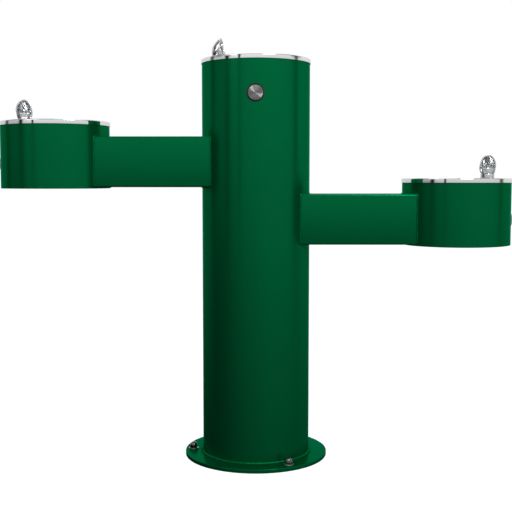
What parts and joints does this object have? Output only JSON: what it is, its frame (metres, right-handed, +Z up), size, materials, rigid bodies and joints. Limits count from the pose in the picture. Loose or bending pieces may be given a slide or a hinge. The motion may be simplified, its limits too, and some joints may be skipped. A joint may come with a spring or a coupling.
{
  "type": "drinking fountain",
  "caption": "Pedestal drinking fountain: bowl on top of a round post and a lower bowl on an arm at each side, with hooded bubblers and push buttons.",
  "frame": {"origin": "centre of the floor flange's underside, on the post's axis", "axes": "+Z up the post; -Y is the front, with the top bowl's push button; +X towards the lowest bowl, -X towards the middle bowl"},
  "size_m": [1.2984, 0.364, 1.0695],
  "materials": {
    "green_paint": "glossy powder coat",
    "polished_steel": "mirror polished stainless steel",
    "spun_steel": "spun stainless steel",
    "zinc_steel": "satin stainless steel",
    "chrome_cast": "polished chrome plate",
    "black_acetal": "moulded",
    "brass": "machined",
    "copper": "drawn copper tube",
    "spring_steel": "drawn wire",
    "waste_plastic": "smooth pipe",
    "hose_plastic": "polyethylene tube"
  },
  "bodies": {
    "root": {"pedestal_tube": "green_paint", "base_flange": "green_paint", "access_door": "green_paint", "arm_left": "green_paint", "arm_right": "green_paint", "drum_left": "green_paint", "drum_right": "green_paint", "drum_cover_left": "green_paint", "drum_cover_right": "green_paint", "door_screw_1": "zinc_steel", "door_screw_2": "zinc_steel", "door_screw_3": "zinc_steel", "door_screw_4": "zinc_steel", "anchor_washer_1": "zinc_steel", "anchor_bolt_1": "polished_steel", "anchor_washer_2": "zinc_steel", "anchor_bolt_2": "polished_steel", "anchor_washer_3": "zinc_steel", "anchor_bolt_3": "polished_steel", "bowl_top": "polished_steel", "drain_strainer_top": "spun_steel", "drain_nut_top": "brass", "bubbler_body_top": "chrome_cast", "bubbler_hood_top": "chrome_cast", "bubbler_nut_top": "brass", "button_sleeve_top": "black_acetal", "button_spring_top": "spring_steel", "valve_body_top": "brass", "bubbler_hose_top": "hose_plastic", "bowl_left": "polished_steel", "drain_strainer_left": "spun_steel", "drain_nut_left": "brass", "bubbler_body_left": "chrome_cast", "bubbler_hood_left": "chrome_cast", "bubbler_nut_left": "brass", "button_sleeve_left": "black_acetal", "button_spring_left": "spring_steel", "valve_body_left": "brass", "bubbler_hose_left": "hose_plastic", "bowl_right": "polished_steel", "drain_strainer_right": "spun_steel", "drain_nut_right": "brass", "bubbler_body_right": "chrome_cast", "bubbler_hood_right": "chrome_cast", "bubbler_nut_right": "brass", "button_sleeve_right": "black_acetal", "button_spring_right": "spring_steel", "valve_body_right": "brass", "bubbler_hose_right": "hose_plastic", "waste_arm_left": "waste_plastic", "waste_arm_right": "waste_plastic", "waste_stack": "waste_plastic", "supply_tree": "copper", "supply_inlet": "copper", "stop_valve": "brass"},
    "button_top": {"push_button_top": "spun_steel"},
    "button_left": {"push_button_left": "spun_steel"},
    "button_right": {"push_button_right": "spun_steel"},
    "stop_lever": {"stop_lever": "zinc_steel"}
  },
  "joints": [
    {"name": "top_button_press", "type": "slide", "parent": "root", "child": "button_top", "axis": [0, 1, 0], "range_m": [0, 0.005], "stiffness_N_per_m": 2500, "springref_m": -0.003, "deforming": ["button_spring_top"]},
    {"name": "left_button_press", "type": "slide", "parent": "root", "child": "button_left", "axis": [1, 0, 0], "range_m": [0, 0.005], "stiffness_N_per_m": 2500, "springref_m": -0.003, "deforming": ["button_spring_left"]},
    {"name": "right_button_press", "type": "slide", "parent": "root", "child": "button_right", "axis": [-1, 0, 0], "range_m": [0, 0.005], "stiffness_N_per_m": 2500, "springref_m": -0.003, "deforming": ["button_spring_right"]},
    {"name": "stop_lever_turn", "type": "hinge", "parent": "root", "child": "stop_lever", "pos_m": [0, 0.0663, 0.262], "axis": [0, 1, 0], "range_deg": [0, 90]}
  ]
}
